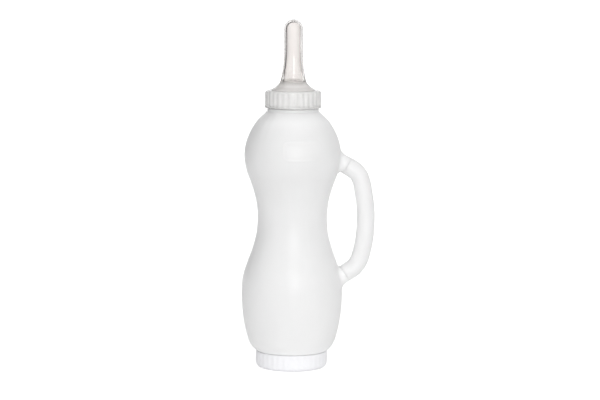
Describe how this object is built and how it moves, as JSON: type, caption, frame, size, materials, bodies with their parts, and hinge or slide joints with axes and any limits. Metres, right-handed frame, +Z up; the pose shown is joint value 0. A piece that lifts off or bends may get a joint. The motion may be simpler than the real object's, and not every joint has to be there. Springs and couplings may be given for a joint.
{
  "type": "calf feeding bottle",
  "caption": "Hourglass feeding bottle with a side handle, a screw-on teat collar with a check valve, and a screw-off base.",
  "frame": {"origin": "centre of the base cap's flat underside, on the bottle's axis", "axes": "+Z up along the bottle to the teat, +X towards the handle, +Y square to the handle's plane"},
  "size_m": [0.1618, 0.1226, 0.425],
  "materials": {
    "milky_body": "satin, translucent",
    "milky_handle": "satin, translucent",
    "clear_collar": "clear gloss",
    "teat_silicone": "clear, smooth",
    "valve_plastic": "satin",
    "seal_rubber": "matt",
    "white_cap": "gloss"
  },
  "bodies": {
    "bottle": {"bottle_body": "milky_body", "handle": "milky_handle"},
    "teat_set": {"teat": "teat_silicone", "valve_seat": "valve_plastic", "valve_cage": "valve_plastic"},
    "collar": {"collar": "clear_collar"},
    "valve_disc": {"valve_disc": "seal_rubber"},
    "base_seal": {"base_seal": "seal_rubber"},
    "base_cap": {"base_cap": "white_cap"}
  },
  "joints": [
    {"name": "teat_lift", "type": "slide", "parent": "bottle", "child": "teat_set", "axis": [0, 0, 1], "range_m": [0, 0.0079]},
    {"name": "collar_turn", "type": "hinge", "parent": "teat_set", "child": "collar", "pos_m": [0, 0, 0.329], "axis": [0, 0, 1], "range_deg": [0, 630]},
    {"name": "disc_lift", "type": "slide", "parent": "teat_set", "child": "valve_disc", "axis": [0, 0, 1], "range_m": [0, 0.002]},
    {"name": "seal_drop", "type": "slide", "parent": "bottle", "child": "base_seal", "axis": [0, 0, -1], "range_m": [0, 0.0088]},
    {"name": "base_cap_turn", "type": "hinge", "parent": "base_seal", "child": "base_cap", "pos_m": [0, 0, 0.01], "axis": [0, 0, -1], "range_deg": [0, 630]}
  ],
  "couplings": [
    {"joint": "teat_lift", "follows": "collar_turn", "m_per_rad": 0.0007162},
    {"joint": "seal_drop", "follows": "base_cap_turn", "m_per_rad": 0.00079577}
  ]
}
